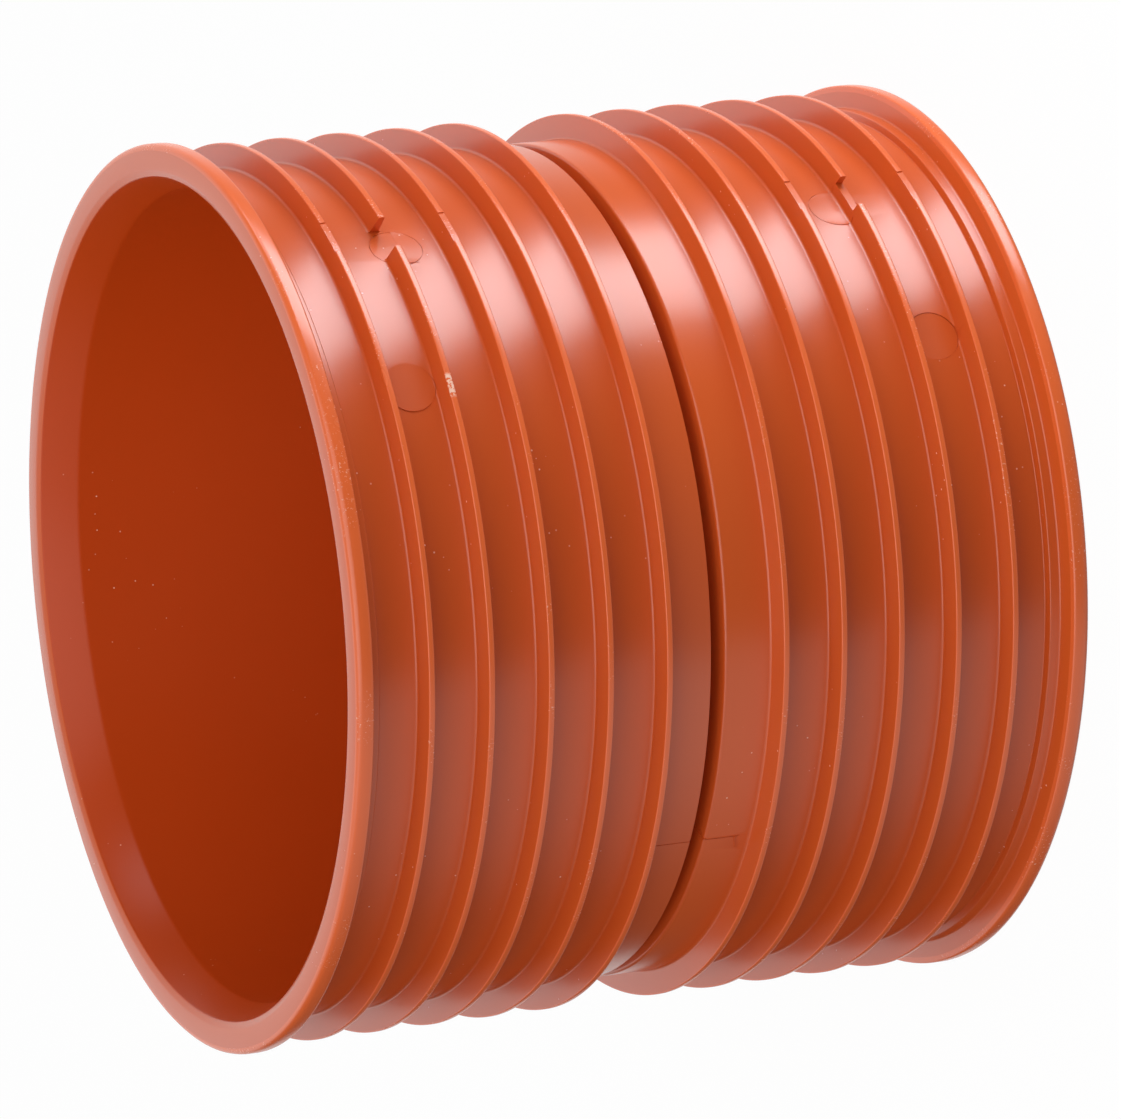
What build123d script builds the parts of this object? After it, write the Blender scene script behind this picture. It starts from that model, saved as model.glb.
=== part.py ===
from build123d import *
import os

# A coupling that joins two lengths of corrugated drainage pipe: a ribbed sleeve
# with a socket at each end and a deep groove round its middle. It stands on one
# mouth with its axis along Z, and both halves are alike. Sizes are in millimetres.

# The two sockets
overall_length = 302.0
bore_radius = 158.5
stop_radius = 144.0
stop_width = 15.0
cone_depth = 15.1
mouth_radius = 165.0

# The wall and the groove round the middle
body_radius = 165.0
groove_width = 5.6
groove_floor_radius = 149.0

# The ribs
ribs_per_side = 5
rib_pitch = 24.1
rib_radius = 175.0
rib_crest_width = 2.4
rib_root_width = 3.6

# The rim at each mouth, and the low step behind it
rim_radius = 177.0
rim_crest_width = 6.5
rim_root_width = 8.0
step_radius = 168.0
step_end = 12.3
step_foot = 13.1

# One rib in each half is cut beside the moulding's slide, right through in the upper
# half and half through in the lower one. Both cuts run along the slide's pull.
cut_rib = 4
cut_angle = 28.0
cut_width = 16.0
cut_offset = 66.2
shallow_cut_radius = 170.0

half_length = overall_length / 2


def rib_outline(middle):
    """The four corners of one rib, from the groove side to the mouth side."""
    return [
        (body_radius, middle - rib_root_width / 2),
        (rib_radius, middle - rib_crest_width / 2),
        (rib_radius, middle + rib_crest_width / 2),
        (body_radius, middle + rib_root_width / 2),
    ]


def outer_points():
    """Half of the outside, from the floor of the groove to the edge of the rim."""
    points = [
        (groove_floor_radius, groove_width / 2),
        (body_radius, groove_width / 2),
    ]
    for number in range(1, ribs_per_side + 1):
        points += rib_outline(number * rib_pitch)
    points += [
        (body_radius, half_length - step_foot),
        (step_radius, half_length - step_end),
        (step_radius, half_length - rim_root_width),
        (rim_radius, half_length - rim_crest_width),
        (rim_radius, half_length),
    ]
    return points


def inner_points():
    """Half of the inside, from the mouth to the edge of the pipe stop."""
    return [
        (mouth_radius, half_length),
        (bore_radius, half_length - cone_depth),
        (bore_radius, stop_width / 2),
        (stop_radius, stop_width / 2),
    ]


def sleeve():
    """The whole wall: the upper half's outline and its mirror image, turned about Z."""
    upper = outer_points() + inner_points()
    lower = [(radius, -height) for radius, height in reversed(upper)]
    outline = make_face(Plane.XZ * Polyline(*upper, *lower, close=True))
    return revolve(outline, axis=Axis.Z)


def rib_cut(middle, floor_radius):
    """The space taken out of one rib, down to a radius from the axis."""
    reach = 2 * rib_radius
    slab = Pos(cut_offset, -reach / 2, middle) * Box(cut_width, reach, rib_pitch / 2)
    core = Cylinder(floor_radius, overall_length)
    return Rot(Z=cut_angle) * slab - core


coupling = sleeve()
coupling -= rib_cut(cut_rib * rib_pitch, body_radius)
coupling -= rib_cut(-cut_rib * rib_pitch, shallow_cut_radius)

os.makedirs("parts", exist_ok=True)
export_step(coupling, "parts/coupling_body.step")
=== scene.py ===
# %% [markdown]
# # A coupling for corrugated drainage pipe
# The real object is one injection moulding in brick-red plastic. A thin ribbed sleeve
# has a socket at each end, and a deep groove runs round its middle. This lesson spins
# its wall from one outline, adds the marks that the mould left, and gives the plastic
# its satin gloss under soft studio light.
#
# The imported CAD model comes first, as the fixed frame that the outer sizes are read from.

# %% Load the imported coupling
import math

import bmesh
import bpy
from mathutils import Matrix, Quaternion, Vector


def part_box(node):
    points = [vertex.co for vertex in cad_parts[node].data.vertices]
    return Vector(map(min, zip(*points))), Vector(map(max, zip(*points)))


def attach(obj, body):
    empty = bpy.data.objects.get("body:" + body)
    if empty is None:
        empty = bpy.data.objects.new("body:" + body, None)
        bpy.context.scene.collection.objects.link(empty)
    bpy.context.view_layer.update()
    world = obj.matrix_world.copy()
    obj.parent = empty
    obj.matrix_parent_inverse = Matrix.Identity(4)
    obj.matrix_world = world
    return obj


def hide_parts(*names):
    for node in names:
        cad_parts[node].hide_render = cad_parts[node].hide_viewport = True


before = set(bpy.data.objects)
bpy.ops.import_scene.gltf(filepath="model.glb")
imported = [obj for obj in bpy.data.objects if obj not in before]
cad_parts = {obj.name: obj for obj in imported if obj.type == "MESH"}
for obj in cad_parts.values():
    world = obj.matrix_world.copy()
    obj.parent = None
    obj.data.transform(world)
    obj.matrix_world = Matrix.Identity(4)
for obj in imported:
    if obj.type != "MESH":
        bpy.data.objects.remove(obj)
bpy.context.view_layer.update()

node_low, node_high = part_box("coupling_body")
half_length = node_high.z
rim_radius = min(node_high.x, -node_low.x, node_high.y, -node_low.y)
print("half length", round(half_length, 4), "rim radius", round(rim_radius, 4))

# %% [markdown]
# ## The camera
# The photograph looks at the coupling lying on its side, and here it stands on one
# mouth, because on its side it would roll away. Turning the camera about its own line
# of sight by about a quarter turn gives the same picture. A long lens keeps the two
# mouths nearly the same size, as in the photograph.

# %% Place the camera
photo_width = 1121
focal_pixels = 7833
sensor_width = 36.0
far_limit = 20.0
camera_azimuth = math.radians(2.433)
camera_elevation = math.radians(22.984)
camera_roll = math.radians(96.209)
camera_distance = 3.0892
camera_target = Vector((0.0001, -0.0029, -0.0068))


def add_camera():
    """A camera turned about its line of sight, so that the standing part looks laid down."""
    level = math.cos(camera_elevation)
    sight = Vector((
        -math.sin(camera_azimuth) * level,
        math.cos(camera_azimuth) * level,
        -math.sin(camera_elevation),
    ))
    data = bpy.data.cameras.new("camera")
    data.sensor_width = sensor_width
    data.lens = data.sensor_width * focal_pixels / photo_width
    data.clip_end = far_limit
    camera = bpy.data.objects.new("camera", data)
    upright = sight.to_track_quat("-Z", "Y")
    turned = upright @ Quaternion((0.0, 0.0, 1.0), -camera_roll)
    place = Matrix.Translation(camera_target - sight * camera_distance)
    camera.matrix_world = place @ turned.to_matrix().to_4x4()
    bpy.context.scene.collection.objects.link(camera)
    bpy.context.scene.camera = camera
    return camera


camera = add_camera()
bpy.context.scene.view_settings.view_transform = "Standard"
print("lens", round(camera.data.lens, 1), "mm")

# %% [markdown]
# ## The outline of the wall
# Cut through the wall and it shows thin ribs, a thick rim at each mouth with a low step
# behind it, and the groove in the middle. One half is drawn and then mirrored. Each
# corner has its own rounding, because a mould leaves crisp edges where its halves meet
# and soft ones in its depths. The groove has one crisp lip and one soft one.

# %% Sizes of the outline, in metres
mm = 0.001
bore_radius = 158.5 * mm
stop_radius = 144.0 * mm
stop_width = 15.0 * mm
cone_depth = 15.1 * mm
cone_radius = 164.2 * mm
mouth_radius = 166.8 * mm
mouth_bevel = 1.2 * mm
body_radius = 165.0 * mm
groove_width = 5.6 * mm
groove_floor = 149.0 * mm
ribs_per_side = 5
rib_pitch = 24.1 * mm
rib_radius = 174.95 * mm
rib_crest_width = 2.4 * mm
rib_root_width = 3.6 * mm
rim_crest_width = 6.5 * mm
rim_root_width = 8.0 * mm
step_radius = 168.0 * mm
step_end = 12.3 * mm
step_foot = 13.1 * mm
print("ribs stand", round((rib_radius - body_radius) / mm, 2), "mm above the wall")

# %% Roundings of its corners
root_rounding = 1.1 * mm
crest_rounding = 0.45 * mm
step_rounding = 0.5 * mm
rim_back_rounding = 0.8 * mm
rim_front_rounding = 2.2 * mm
bore_rounding = 0.9 * mm
crisp_lip = 0.25 * mm
soft_lip = 1.3 * mm
print("softest rounding", round(rim_front_rounding / mm, 2), "mm, at the rim's front")


# %% One half of the outline, and its mirror image
def rib_corners(middle):
    """A rib's four corners, each with its rounding."""
    return [
        (body_radius, middle - rib_root_width / 2, root_rounding),
        (rib_radius, middle - rib_crest_width / 2, crest_rounding),
        (rib_radius, middle + rib_crest_width / 2, crest_rounding),
        (body_radius, middle + rib_root_width / 2, root_rounding),
    ]


def half_corners(lip_rounding):
    """The corners from the groove's floor, over the outside and back along the bore."""
    corners = [
        (groove_floor, groove_width / 2, step_rounding),
        (body_radius, groove_width / 2, lip_rounding),
    ]
    for number in range(1, ribs_per_side + 1):
        corners += rib_corners(number * rib_pitch)
    corners += [
        (body_radius, half_length - step_foot, step_rounding),
        (step_radius, half_length - step_end, step_rounding),
        (step_radius, half_length - rim_root_width, rim_back_rounding),
        (rim_radius, half_length - rim_crest_width, rim_back_rounding),
        (rim_radius, half_length, rim_front_rounding),
        (mouth_radius, half_length, step_rounding),
        (cone_radius, half_length - mouth_bevel, step_rounding),
        (bore_radius, half_length - cone_depth, bore_rounding),
        (bore_radius, stop_width / 2, bore_rounding),
        (stop_radius, stop_width / 2, bore_rounding),
    ]
    return corners


upper = half_corners(crisp_lip)
lower = [(radius, -height, rounding) for radius, height, rounding in half_corners(soft_lip)]
outline_corners = upper + lower[::-1]
print(len(outline_corners), "corners in the outline")

# %% [markdown]
# ## Turning the wall
# The outline starts as one flat face. Bevelling its corners while it is flat is simple
# and exact, because each rounding is then a small arc. The face is dropped, and spinning
# its edges about the axis makes the closed wall. A lathe tool in a mould shop works the
# same way.

# %% Spin the outline about the axis
spin_steps = 300
corner_segments = 3
weld_distance = 0.01 * mm


def new_piece(name, builder):
    """A mesh object at the origin from a finished bmesh."""
    mesh = bpy.data.meshes.new(name)
    builder.to_mesh(mesh)
    builder.free()
    piece = bpy.data.objects.new(name, mesh)
    bpy.context.scene.collection.objects.link(piece)
    return piece


def spin_sleeve():
    """The whole wall as one closed mesh."""
    builder = bmesh.new()
    corners = [builder.verts.new((radius, 0.0, height)) for radius, height, _ in outline_corners]
    builder.faces.new(corners)
    roundings = [rounding for _, _, rounding in outline_corners]
    for rounding in sorted(set(roundings)):
        chosen = [corner for corner, own in zip(corners, roundings) if own == rounding]
        bmesh.ops.bevel(
            builder, geom=chosen, offset=rounding, segments=corner_segments,
            profile=0.5, affect="VERTICES", material=-1,
        )
    bmesh.ops.delete(builder, geom=builder.faces[:], context="FACES_ONLY")
    bmesh.ops.spin(
        builder, geom=builder.verts[:] + builder.edges[:], cent=(0, 0, 0), axis=(0, 0, 1),
        angle=2 * math.pi, steps=spin_steps, use_merge=True,
    )
    bmesh.ops.remove_doubles(builder, verts=builder.verts[:], dist=weld_distance)
    bmesh.ops.recalc_face_normals(builder, faces=builder.faces[:])
    return new_piece("coupling_moulding", builder)


sleeve = spin_sleeve()
print(len(sleeve.data.polygons), "faces in the wall")

# %% [markdown]
# ## What the mould left
# A slide in the mould stops one rib of each half short: right through above the groove,
# and half through below it. The ribs beside it are a hair lower there. Round inserts
# leave discs on the curved wall, with a fine slot round each, and the joint of the mould
# leaves a thin line across the groove. Each mark is a small solid, and most are made at
# the front first and then turned to their place about the axis.

# %% A helper that turns a small solid to its place
outside = 3 * mm


def facing(angle):
    """The turn about the axis that takes the front, -Y, to an angle towards +X."""
    return Matrix.Rotation(angle, 4, "Z")


print("tools reach", round(outside / mm, 2), "mm past the wall")

# %% The slide's slot over a rib
slide_angle = math.radians(28.0)
slide_offset = 66.2 * mm
slide_width = 16.0 * mm
sector_start = 0.3
sector_sweep = 1.1
sector_steps = 24


def rib_slot(middle, floor):
    """The space over one rib between the slide's two flat sides, down to a floor radius."""
    builder = bmesh.new()
    bottom = middle - rib_pitch / 4
    top = middle + rib_pitch / 4
    outer = rim_radius + mm
    section = [(floor, bottom), (outer, bottom), (outer, top), (floor, top)]
    face = builder.faces.new([builder.verts.new((0.0, -radius, height)) for radius, height in section])
    start = Matrix.Rotation(sector_start, 3, "Z")
    bmesh.ops.rotate(builder, verts=builder.verts[:], matrix=start)
    bmesh.ops.spin(
        builder, geom=[face], cent=(0, 0, 0), axis=(0, 0, 1), angle=sector_sweep, steps=sector_steps,
    )
    bmesh.ops.recalc_face_normals(builder, faces=builder.faces[:])
    across = (facing(slide_angle) @ Vector((1.0, 0.0, 0.0))).normalized()
    for side in (-1, 1):
        edge = across * (slide_offset + side * slide_width / 2)
        geometry = builder.verts[:] + builder.edges[:] + builder.faces[:]
        cut = bmesh.ops.bisect_plane(
            builder, geom=geometry, plane_co=edge, plane_no=across * side, clear_outer=True,
        )
        rim = [item for item in cut["geom_cut"] if isinstance(item, bmesh.types.BMEdge)]
        bmesh.ops.holes_fill(builder, edges=rim, sides=0)
    return builder


print("slide", round(slide_width / mm, 1), "mm wide")

# %% Round inserts and the slots round them
insert_steps = 72
slot_weld_distance = 0.001 * mm


def round_insert(angle, height, radius, low, high):
    """A short round bar that points away from the axis, from a low to a high distance."""
    builder = bmesh.new()
    bmesh.ops.create_cone(
        builder, cap_ends=True, segments=insert_steps, radius1=radius, radius2=radius, depth=high - low,
    )
    bmesh.ops.rotate(builder, verts=builder.verts[:], matrix=Matrix.Rotation(math.pi / 2, 3, "X"))
    bmesh.ops.translate(builder, verts=builder.verts[:], vec=(0.0, -(low + high) / 2, height))
    bmesh.ops.transform(builder, verts=builder.verts[:], matrix=facing(angle))
    return builder


def ring_slot(angle, height, radius, width, low):
    """The fine slot round an insert, from a low distance to the outside."""
    builder = bmesh.new()
    inner = radius - width / 2
    outer = radius + width / 2
    top = body_radius + outside
    section = [(inner, low), (outer, low), (outer, top), (inner, top)]
    face = builder.faces.new([builder.verts.new((across, 0.0, up)) for across, up in section])
    bmesh.ops.delete(builder, geom=[face], context="FACES_ONLY")
    bmesh.ops.spin(
        builder, geom=builder.verts[:] + builder.edges[:], cent=(0, 0, 0), axis=(0, 0, 1),
        angle=2 * math.pi, steps=insert_steps, use_merge=True,
    )
    bmesh.ops.remove_doubles(builder, verts=builder.verts[:], dist=slot_weld_distance)
    bmesh.ops.rotate(builder, verts=builder.verts[:], matrix=Matrix.Rotation(math.pi / 2, 3, "X"))
    bmesh.ops.translate(builder, verts=builder.verts[:], vec=(0.0, 0.0, height))
    bmesh.ops.transform(builder, verts=builder.verts[:], matrix=facing(angle))
    bmesh.ops.recalc_face_normals(builder, faces=builder.faces[:])
    return builder


print(insert_steps, "steps round each insert")


# %% Thin bars for lines and flash
def sliver(angle, height, length, width, low, high, lean=0.0):
    """A thin bar on the wall, along the axis unless it leans."""
    builder = bmesh.new()
    bmesh.ops.create_cube(builder, size=1.0)
    bmesh.ops.scale(builder, verts=builder.verts[:], vec=(width, high - low, length))
    bmesh.ops.rotate(builder, verts=builder.verts[:], matrix=Matrix.Rotation(lean, 3, "Y"))
    bmesh.ops.translate(builder, verts=builder.verts[:], vec=(0.0, -(low + high) / 2, height))
    bmesh.ops.transform(builder, verts=builder.verts[:], matrix=facing(angle))
    return builder


line_width = 0.34 * mm
print("lines", round(line_width / mm, 2), "mm wide")

# %% [markdown]
# ## Where the marks are
# The places are heights along the axis and angles about it. Each half has a flat disc
# near its mouth, proud of the wall above the groove and sunk below it, and a second,
# fainter round insert where its rib is cut. The parting line has a little flash along
# one side, which branches at its lower end and runs on down the groove's wall.

# %% Cuts into the wall
cut_rib = 4
shallow_floor = 170.0 * mm
dip_floor = 174.5 * mm
insert_radius = 10.2 * mm
disc_angle = math.radians(27.4)
disc_height = 108.5 * mm
sunk_disc = body_radius - 0.5 * mm
parting_angle = math.radians(-40.3)
parting_middle = -10.0 * mm
parting_length = 15.0 * mm
parting_floor = body_radius - 0.45 * mm
upper_line_middle = 12.5 * mm
upper_line_length = 20.0 * mm
upper_line_floor = body_radius - 0.3 * mm
seam_angle = math.radians(47.6)
seam_height = 87.8 * mm
seam_length = 4.6 * mm
seam_floor = body_radius - 0.25 * mm
over = body_radius + outside

cuts = [
    rib_slot(cut_rib * rib_pitch, body_radius),
    rib_slot(-cut_rib * rib_pitch, shallow_floor),
    round_insert(disc_angle, -disc_height, insert_radius, sunk_disc, over),
    sliver(parting_angle, upper_line_middle, upper_line_length, line_width, upper_line_floor, over),
    sliver(parting_angle, parting_middle, parting_length, line_width, parting_floor, over),
    sliver(seam_angle, seam_height, seam_length, line_width, seam_floor, over),
]
for neighbour in (cut_rib - 1, cut_rib + 1):
    for side in (-1, 1):
        cuts.append(rib_slot(side * neighbour * rib_pitch, dip_floor))
print(len(cuts), "cuts")

# %% Slots round the inserts
gate_angle = math.radians(50.8)
gate_height = 91.7 * mm
slot_width = 0.22 * mm
narrow_slot_width = 0.18 * mm
proud_slot_floor = body_radius - 0.22 * mm
sunk_slot_floor = body_radius - 0.7 * mm
gate_slot_floor = body_radius - 0.5 * mm

ring_slots = [
    ring_slot(disc_angle, disc_height, insert_radius, slot_width, proud_slot_floor),
    ring_slot(disc_angle, -disc_height, insert_radius, narrow_slot_width, sunk_slot_floor),
    ring_slot(gate_angle, gate_height, insert_radius, slot_width, gate_slot_floor),
    ring_slot(gate_angle, -gate_height, insert_radius, slot_width, gate_slot_floor),
]
print(len(ring_slots), "slots")

# %% Raised marks
proud_disc = body_radius + 0.05 * mm
gate_disc = body_radius - 0.16 * mm
under = body_radius - outside
flash_turn = 0.0022
thin_flash = 0.25 * mm
flash_top = body_radius + 0.14 * mm
branch_turn = -0.018
branch_height = -16.4 * mm
branch_length = 5.6 * mm
branch_lean = 1.3
branch_top = body_radius + 0.45 * mm
flash_width = 0.4 * mm
groove_lip = -groove_width / 2
groove_flash_length = 0.7 * mm
groove_flash = (groove_floor + 5 * mm, body_radius - 0.2 * mm)

raised = [
    round_insert(disc_angle, disc_height, insert_radius, under, proud_disc),
    round_insert(gate_angle, gate_height, insert_radius, under, gate_disc),
    round_insert(gate_angle, -gate_height, insert_radius, under, gate_disc),
    sliver(parting_angle + flash_turn, parting_middle, parting_length, thin_flash, under, flash_top),
    sliver(
        parting_angle + branch_turn, branch_height, branch_length, flash_width, under, branch_top,
        lean=branch_lean,
    ),
    sliver(parting_angle, groove_lip, groove_flash_length, flash_width, *groove_flash),
]
print(len(raised), "raised marks")

# %% [markdown]
# ## Adding and taking away
# The small solids are joined into three tools. A Boolean step joins the raised marks
# first, the next one takes away the cuts, and a last one takes away the fine slots. The
# slots go alone because they overlap the other cuts, and a tool that crosses itself can
# leave an empty mesh. Then the wall is smooth, with sharp edges where it really turns.

# %% Take away and add
sharp_angle = math.radians(38)


def join(name, builders):
    """One object from several small solids."""
    whole = bmesh.new()
    for builder in builders:
        part = bpy.data.meshes.new("part")
        builder.to_mesh(part)
        builder.free()
        whole.from_mesh(part)
        bpy.data.meshes.remove(part)
    bmesh.ops.recalc_face_normals(whole, faces=whole.faces[:])
    return new_piece(name, whole)


def boolean(piece, tool, operation):
    """Cuts or joins a tool mesh into the piece for good, and removes the tool."""
    step = piece.modifiers.new("step", "BOOLEAN")
    step.operation = operation
    step.solver = "EXACT"
    step.object = tool
    bpy.context.view_layer.update()
    graph = bpy.context.evaluated_depsgraph_get()
    done = bpy.data.meshes.new_from_object(piece.evaluated_get(graph))
    piece.modifiers.clear()
    piece.data = done
    bpy.data.objects.remove(tool)
    print(operation.lower(), "leaves", len(done.polygons), "faces")


boolean(sleeve, join("marks", raised), "UNION")
boolean(sleeve, join("cuts", cuts), "DIFFERENCE")
boolean(sleeve, join("rings", ring_slots), "DIFFERENCE")
sleeve.data.name = "coupling_moulding"
sleeve.data.polygons.foreach_set("use_smooth", [True] * len(sleeve.data.polygons))
sleeve.data.set_sharp_from_angle(angle=sharp_angle)

# %% [markdown]
# ## Wear
# Handling leaves pale specks and short scuffs on such a part, most of them on the ribs'
# crests. The marks come from one node group that puts out masks, so the same wear can
# serve both finishes, the outside and the bore. Small helpers keep the node trees short.

# %% Helpers for node trees
def link(tree, source, target):
    """Joins an output to an input."""
    tree.links.new(source, target)


def math_node(tree, operation, *values):
    """A Math node whose inputs are sockets or plain numbers."""
    node = tree.nodes.new("ShaderNodeMath")
    node.operation = operation
    for socket, value in zip(node.inputs, values):
        if isinstance(value, (int, float)):
            socket.default_value = value
        else:
            link(tree, value, socket)
    return node.outputs[0]


def ramp_between(tree, value, start, end):
    """A smooth step from 0 at the start to 1 at the end."""
    node = tree.nodes.new("ShaderNodeMapRange")
    node.interpolation_type = "SMOOTHSTEP"
    node.inputs["From Min"].default_value = start
    node.inputs["From Max"].default_value = end
    link(tree, value, node.inputs["Value"])
    return node.outputs["Result"]


def noise(tree, vector, scale, detail=2.0, roughness=0.5):
    """A noise value between 0 and 1."""
    node = tree.nodes.new("ShaderNodeTexNoise")
    node.inputs["Scale"].default_value = scale
    node.inputs["Detail"].default_value = detail
    node.inputs["Roughness"].default_value = roughness
    link(tree, vector, node.inputs["Vector"])
    return node.outputs["Fac"]


def mix_colour(tree, factor, first, second):
    """A blend of two colours, each a socket or a plain colour."""
    node = tree.nodes.new("ShaderNodeMix")
    node.data_type = "RGBA"
    link(tree, factor, node.inputs["Factor"])
    for socket, value in ((node.inputs["A"], first), (node.inputs["B"], second)):
        if isinstance(value, tuple):
            socket.default_value = value
        else:
            link(tree, value, socket)
    return node.outputs["Result"]


print("node helpers ready")


# %% A node group for handling marks
dot_scale = 190.0
dot_edge = (0.075, 0.045)
dot_patch_scale = 14.0
dot_patch_edge = (0.56, 0.66)
grit_scale = 900.0
grit_edge = (0.60, 0.70)
grit_patch_scale = 26.0
grit_patch_edge = (0.55, 0.66)
cloud_scale = 7.0
ripple_scale = 38.0
fine_scale = 420.0
fine_share = 0.04


def handling_group():
    """Pale specks, slow colour change and a fine relief, as values."""
    group = bpy.data.node_groups.new("handling_marks", "ShaderNodeTree")
    group.interface.new_socket("Position", in_out="INPUT", socket_type="NodeSocketVector")
    group.interface.new_socket("Crest", in_out="INPUT", socket_type="NodeSocketFloat")
    group.interface.new_socket("Specks", in_out="OUTPUT", socket_type="NodeSocketFloat")
    group.interface.new_socket("Cloud", in_out="OUTPUT", socket_type="NodeSocketFloat")
    group.interface.new_socket("Relief", in_out="OUTPUT", socket_type="NodeSocketFloat")
    source = group.nodes.new("NodeGroupInput")
    result = group.nodes.new("NodeGroupOutput")
    position = source.outputs["Position"]

    dots = group.nodes.new("ShaderNodeTexVoronoi")
    dots.inputs["Scale"].default_value = dot_scale
    link(group, position, dots.inputs["Vector"])
    dot_mask = ramp_between(group, dots.outputs["Distance"], *dot_edge)
    dot_patches = ramp_between(group, noise(group, position, dot_patch_scale), *dot_patch_edge)
    wall_specks = math_node(group, "MULTIPLY", dot_mask, dot_patches)

    grit = ramp_between(group, noise(group, position, grit_scale, 3.0, 0.7), *grit_edge)
    grit_patches = ramp_between(group, noise(group, position, grit_patch_scale), *grit_patch_edge)
    crest_specks = math_node(group, "MULTIPLY", grit, grit_patches)
    crest_specks = math_node(group, "MULTIPLY", crest_specks, source.outputs["Crest"])
    specks = math_node(group, "MAXIMUM", wall_specks, crest_specks)
    link(group, specks, result.inputs["Specks"])

    link(group, noise(group, position, cloud_scale, 3.0, 0.55), result.inputs["Cloud"])
    ripple = noise(group, position, ripple_scale, 2.0, 0.4)
    fine = noise(group, position, fine_scale, 2.0, 0.5)
    relief = math_node(group, "MULTIPLY_ADD", fine, fine_share, ripple)
    link(group, relief, result.inputs["Relief"])
    return group


handling = handling_group()
outputs = [item.name for item in handling.interface.items_tree if item.in_out == "OUTPUT"]
print("handling marks put out", outputs)

# %% [markdown]
# ## The plastic
# Coloured polypropylene has a deep, saturated colour and a satin gloss. The ribs' thin
# crests catch more light than the wall, so a mask by distance from the axis paints them a
# lighter colour, a painted highlight. The bore's colour is darker, painted shade inside the
# sleeve, and its gloss is duller. One pale scuff crosses the crest of the cut rib, and a
# mask round one point puts it there.

# %% Colours of the plastic
outside_colour = (0.60, 0.088, 0.013, 1.0)
outside_cloud = (0.64, 0.100, 0.017, 1.0)
# The bore's colours are darker than the outside's: painted shade inside the sleeve.
bore_painted_shade_colour = (0.52, 0.056, 0.004, 1.0)
bore_painted_shade_cloud = (0.56, 0.064, 0.006, 1.0)
# A lighter colour for the crests of ribs and rims: a painted highlight, where they catch more light than
# the bays.
crest_painted_highlight = (0.76, 0.130, 0.030, 1.0)
scuff_colour = (0.86, 0.50, 0.36, 1.0)
scuff_angle = math.radians(25.6)
scuff_height = 96.8 * mm
scuff_length = 11 * mm
scuff_radius = 175 * mm
scuff_place = (scuff_radius * math.sin(scuff_angle), -scuff_radius * math.cos(scuff_angle), scuff_height)
print("scuff at", [round(value, 3) for value in scuff_place])


# %% Masks for the crests and the scuff
crest_edge = (rib_radius - 0.8 * mm, rib_radius - 0.2 * mm)
streak_scale = 1100.0
streak_edge = (0.42, 0.52)


def distance_from_axis(tree, position):
    """How far the shaded point is from the sleeve's axis."""
    split = tree.nodes.new("ShaderNodeSeparateXYZ")
    link(tree, position, split.inputs["Vector"])
    squares = [math_node(tree, "MULTIPLY", split.outputs[i], split.outputs[i]) for i in (0, 1)]
    return math_node(tree, "SQRT", math_node(tree, "ADD", *squares))


def crest_mask(tree, position):
    """1 on the crests of the ribs and rims, 0 on the rest."""
    radius = distance_from_axis(tree, position)
    return ramp_between(tree, radius, *crest_edge)


def scuff_mask(tree, position, crest):
    """A broken patch on one crest, round the scuff's place."""
    near = tree.nodes.new("ShaderNodeVectorMath")
    near.operation = "DISTANCE"
    link(tree, position, near.inputs[0])
    near.inputs[1].default_value = scuff_place
    patch = ramp_between(tree, near.outputs["Value"], scuff_length / 2, scuff_length / 3)
    patch = math_node(tree, "MULTIPLY", patch, crest)
    streaks = ramp_between(tree, noise(tree, position, streak_scale), *streak_edge)
    return math_node(tree, "MULTIPLY", patch, streaks)


print("scuff", round(scuff_length / mm), "mm long")


# %% The two finishes
plastic_ior = 1.5
speck_dulling = 0.3
relief_height = 0.2 * mm


def satin_plastic(name, colours, shine, gloss_low, gloss_high, relief_strength):
    """Glossy red plastic with handling marks."""
    material = bpy.data.materials.new(name)
    material.use_nodes = True
    tree = material.node_tree
    shader = tree.nodes["Principled BSDF"]
    shader.inputs["IOR"].default_value = plastic_ior
    shader.inputs["Specular IOR Level"].default_value = shine

    place = tree.nodes.new("ShaderNodeTexCoord").outputs["Object"]
    crest = crest_mask(tree, place)
    marks = tree.nodes.new("ShaderNodeGroup")
    marks.node_tree = handling
    link(tree, place, marks.inputs["Position"])
    link(tree, crest, marks.inputs["Crest"])

    plain = mix_colour(tree, marks.outputs["Cloud"], *colours)
    # The crests get the lighter colour, a painted highlight.
    plain = mix_colour(tree, crest, plain, crest_painted_highlight)
    specks = math_node(tree, "MAXIMUM", marks.outputs["Specks"], scuff_mask(tree, place, crest))
    link(tree, mix_colour(tree, specks, plain, scuff_colour), shader.inputs["Base Color"])

    gloss = tree.nodes.new("ShaderNodeMapRange")
    gloss.inputs["To Min"].default_value = gloss_low
    gloss.inputs["To Max"].default_value = gloss_high
    link(tree, marks.outputs["Cloud"], gloss.inputs["Value"])
    rough = math_node(tree, "MULTIPLY_ADD", specks, speck_dulling, gloss.outputs["Result"])
    link(tree, rough, shader.inputs["Roughness"])

    bump = tree.nodes.new("ShaderNodeBump")
    bump.inputs["Strength"].default_value = relief_strength
    bump.inputs["Distance"].default_value = relief_height
    link(tree, marks.outputs["Relief"], bump.inputs["Height"])
    link(tree, bump.outputs["Normal"], shader.inputs["Normal"])
    return material


outside_finish = satin_plastic(
    "coupling_outside", (outside_colour, outside_cloud),
    shine=0.7, gloss_low=0.22, gloss_high=0.30, relief_strength=0.35,
)
# The bore's material has the darker colours, which are painted shade, and a duller gloss.
bore_finish_and_painted_shade = satin_plastic(
    "coupling_bore", (bore_painted_shade_colour, bore_painted_shade_cloud),
    shine=0.3, gloss_low=0.30, gloss_high=0.38, relief_strength=0.5,
)
print("finishes", outside_finish.name, bore_finish_and_painted_shade.name)

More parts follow.
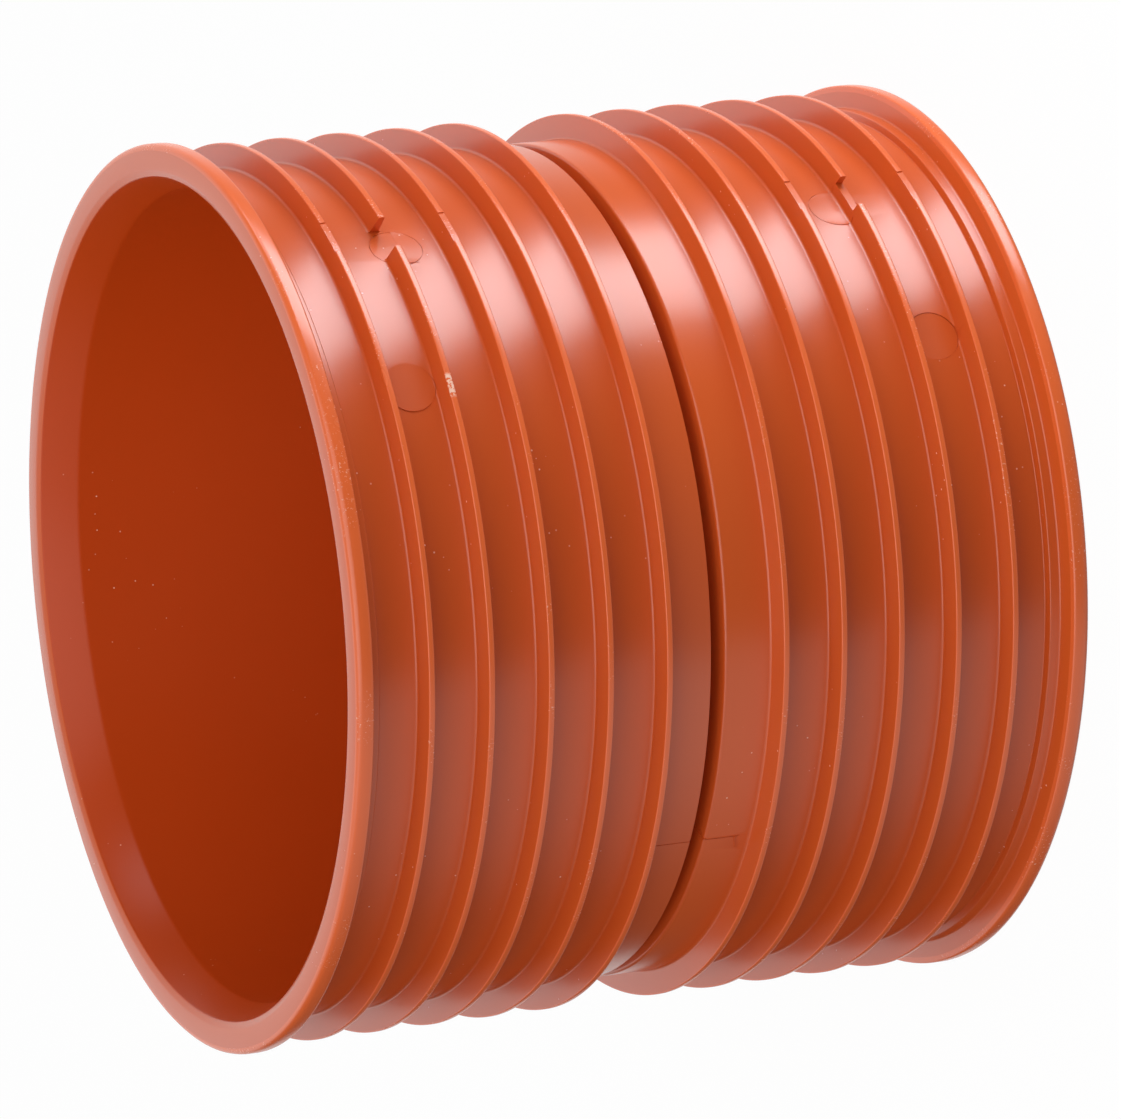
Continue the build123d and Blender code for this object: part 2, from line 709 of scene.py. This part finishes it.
# %% Give the faces their finish
inside_edge = cone_radius + 0.3 * mm
sleeve.data.materials.clear()
sleeve.data.materials.append(outside_finish)
sleeve.data.materials.append(bore_finish_and_painted_shade)
inside_faces = 0
for polygon in sleeve.data.polygons:
    polygon.material_index = 0
    inward = polygon.center.xy.dot(polygon.normal.xy) < 0
    if inward and polygon.center.xy.length < inside_edge and abs(polygon.center.z) > groove_width:
        polygon.material_index = 1
        inside_faces += 1
print(inside_faces, "faces in the bore's finish")

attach(sleeve, "root")
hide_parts("coupling_body")

# %% [markdown]
# ## The floor
# The coupling stands on a wide pale floor. To the camera it is nearly pure white, as the
# photograph's ground is, and it keeps a very faint shadow. It is hidden from the plastic
# itself, because in the photograph the light comes from a table on another side.

# %% Lay the floor
backdrop_white = 1.0
floor_glow = 0.96
floor_colour = (0.9, 0.9, 0.9, 1.0)
floor_size = 6.0


def add_floor():
    """A wide pale floor under the lower mouth."""
    builder = bmesh.new()
    bmesh.ops.create_grid(builder, x_segments=1, y_segments=1, size=floor_size)
    bmesh.ops.translate(builder, verts=builder.verts[:], vec=(0.0, 0.0, -half_length))
    floor = new_piece("floor", builder)
    material = bpy.data.materials.new("floor_white")
    material.use_nodes = True
    tree = material.node_tree
    tree.nodes.clear()
    output = tree.nodes.new("ShaderNodeOutputMaterial")
    matt = tree.nodes.new("ShaderNodeBsdfDiffuse")
    matt.inputs["Color"].default_value = floor_colour
    glow = tree.nodes.new("ShaderNodeEmission")
    glow.inputs["Strength"].default_value = backdrop_white
    blend = tree.nodes.new("ShaderNodeMixShader")
    seen = tree.nodes.new("ShaderNodeLightPath").outputs["Is Camera Ray"]
    link(tree, math_node(tree, "MULTIPLY", seen, floor_glow), blend.inputs["Fac"])
    link(tree, matt.outputs["BSDF"], blend.inputs[1])
    link(tree, glow.outputs["Emission"], blend.inputs[2])
    link(tree, blend.outputs["Shader"], output.inputs["Surface"])
    floor.data.materials.append(material)
    floor.visible_glossy = False
    floor.visible_diffuse = False
    floor.visible_shadow = False
    return floor


floor = add_floor()
print("floor at", round(floor.data.vertices[0].co.z, 3))

# %% [markdown]
# ## The studio round it
# A white sweep behind, a pale table below and soft walls at both ends surround the
# coupling in the photograph. Below there is the -X side here, because the part stands.
# The world shader carries all of them as brightness by direction, and smooth steps
# between them give the soft edges that the gloss shows.

# %% The world
table_brightness = 0.62
sweep_brightness = 1.0
front_wall = 0.55
back_wall = 0.3
room_brightness = 0.05
table_edge = (-0.36, -0.44)
table_fade = (0.3, -0.6)
sweep_edge = (-0.58, -0.43)
sweep_fade = (0.3, 0.95)
front_wall_fade = (0.5, 0.75)
back_wall_fade = (-0.5, -0.75)
white = (1.0, 1.0, 1.0, 1.0)


def studio_brightness(tree, ray):
    """How bright the studio is in each direction."""
    split = tree.nodes.new("ShaderNodeSeparateXYZ")
    link(tree, ray, split.inputs["Vector"])
    x, y, z = split.outputs
    table = math_node(
        tree, "MULTIPLY", ramp_between(tree, x, *table_edge), ramp_between(tree, y, *table_fade),
    )
    table = math_node(tree, "MULTIPLY", table, table_brightness)
    sweep = math_node(
        tree, "MULTIPLY", ramp_between(tree, y, *sweep_fade), ramp_between(tree, x, *sweep_edge),
    )
    sweep = math_node(tree, "MULTIPLY", sweep, sweep_brightness)
    front_side = math_node(tree, "MULTIPLY", ramp_between(tree, z, *front_wall_fade), front_wall)
    back_side = math_node(tree, "MULTIPLY", ramp_between(tree, z, *back_wall_fade), back_wall)
    wall_low = math_node(tree, "SUBTRACT", 1.0, x)
    walls = math_node(tree, "MULTIPLY", math_node(tree, "ADD", front_side, back_side), wall_low)
    level = math_node(tree, "ADD", math_node(tree, "MAXIMUM", sweep, table), walls)
    return math_node(tree, "ADD", level, room_brightness)


def add_world():
    """White to the camera, and the studio to every other ray."""
    world = bpy.data.worlds.new("studio")
    bpy.context.scene.world = world
    world.use_nodes = True
    tree = world.node_tree
    tree.nodes.clear()
    output = tree.nodes.new("ShaderNodeOutputWorld")
    ray = tree.nodes.new("ShaderNodeTexCoord").outputs["Generated"]
    studio = tree.nodes.new("ShaderNodeBackground")
    studio.inputs["Color"].default_value = white
    link(tree, studio_brightness(tree, ray), studio.inputs["Strength"])
    plain = tree.nodes.new("ShaderNodeBackground")
    plain.inputs["Color"].default_value = white
    plain.inputs["Strength"].default_value = backdrop_white
    blend = tree.nodes.new("ShaderNodeMixShader")
    seen = tree.nodes.new("ShaderNodeLightPath").outputs["Is Camera Ray"]
    link(tree, seen, blend.inputs["Fac"])
    link(tree, studio.outputs["Background"], blend.inputs[1])
    link(tree, plain.outputs["Background"], blend.inputs[2])
    link(tree, blend.outputs["Shader"], output.inputs["Surface"])
    return world


world = add_world()
print("world", world.name)

# %% [markdown]
# ## The lamps
# Three soft lamps do the rest. The long softbox hangs over the laid-down coupling, which
# is the +X side here, and draws the pale band across the bays. A small one lights the
# cone inside the mouth, and a large, weak one fills the side that faces the camera.

# %% Hang the lamps
cool = (0.93, 1.0, 1.07)
neutral = (1.0, 1.0, 1.0)


def add_softbox(name, place, target, width, depth, power, tint):
    """A rectangular lamp that faces a point and that the camera doesn't see."""
    data = bpy.data.lights.new(name, "AREA")
    data.shape = "RECTANGLE"
    data.size = width
    data.size_y = depth
    data.energy = power
    data.color = tint
    lamp = bpy.data.objects.new(name, data)
    lamp.location = place
    lamp.rotation_euler = (Vector(target) - Vector(place)).to_track_quat("-Z", "Z").to_euler()
    lamp.visible_camera = False
    bpy.context.scene.collection.objects.link(lamp)
    return lamp


lamps = [
    add_softbox(
        "softbox", place=(0.95, -0.255, -0.29), target=(0.0, -0.255, -0.29),
        width=0.91, depth=0.50, power=9.9, tint=cool,
    ),
    add_softbox(
        "mouth_light", place=(0.95, 0.0, 0.36), target=(0.0, 0.0, 0.16),
        width=0.32, depth=0.32, power=1.0, tint=cool,
    ),
    add_softbox(
        "fill", place=(0.3, -1.48, 1.3), target=(0.0, 0.0, 0.0),
        width=2.4, depth=2.4, power=26.0, tint=neutral,
    ),
]
print(len(lamps), "lamps")
